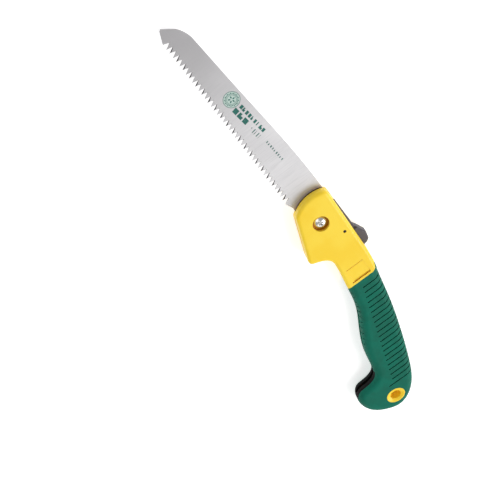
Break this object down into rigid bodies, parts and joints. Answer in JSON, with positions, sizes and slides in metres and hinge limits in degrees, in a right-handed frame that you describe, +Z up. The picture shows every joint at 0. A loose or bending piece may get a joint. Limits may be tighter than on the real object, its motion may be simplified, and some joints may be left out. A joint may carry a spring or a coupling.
{
  "type": "folding pruning saw",
  "caption": "Folding pruning saw with a slanted-nose toothed blade, two-part shell handle with grooved soft grip, rocking lock lever and hang hole.",
  "frame": {"origin": "middle of the bounding box at its bottom: the saw lies open on its rear side", "axes": "+X from the blade's tip to the butt, +Y from the teeth to the spine, +Z up, out of the screw-head side"},
  "size_m": [0.456, 0.1122, 0.022],
  "materials": {
    "blade_steel": "satin ground carbon steel with fine cross-grain lines",
    "yellow_shell": "semi-gloss moulded yellow plastic",
    "green_grip": "matte soft-touch overmould",
    "bright_screw": "bright nickel-plated steel",
    "zinc_steel": "plain zinc-plated steel",
    "bearing_plastic": "natural acetal",
    "grey_lever": "dark grey glass-filled plastic",
    "spring_steel": "oiled spring wire",
    "black_screw": "black oxide steel",
    "rest_rubber": "black rubber"
  },
  "bodies": {
    "handle": {"front_shell": "yellow_shell", "rear_shell": "yellow_shell", "front_grip": "green_grip", "rear_grip": "green_grip", "pivot_screw": "bright_screw", "pivot_nut": "bright_screw", "screw_washer": "zinc_steel", "nut_washer": "zinc_steel", "pivot_bush": "zinc_steel", "front_thrust_washer": "bearing_plastic", "rear_thrust_washer": "bearing_plastic", "stop_pin": "zinc_steel", "lever_pin": "zinc_steel", "shell_screws": "black_screw", "locating_pegs": "bearing_plastic", "tip_rest": "rest_rubber", "hook_liners": "rest_rubber"},
    "blade": {"blade": "blade_steel"},
    "lock_lever": {"lock_lever": "grey_lever", "lever_spring": "spring_steel"}
  },
  "joints": [
    {"name": "blade_fold", "type": "hinge", "parent": "handle", "child": "blade", "pos_m": [0.001, 0.02995, 0.011], "axis": [0, 0, 1], "range_deg": [0, 162]},
    {"name": "lock_rock", "type": "hinge", "parent": "handle", "child": "lock_lever", "pos_m": [0.022, 0.04195, 0.011], "axis": [0, 0, -1], "range_deg": [-5, 10], "stiffness_Nm_per_rad": 0.05}
  ]
}
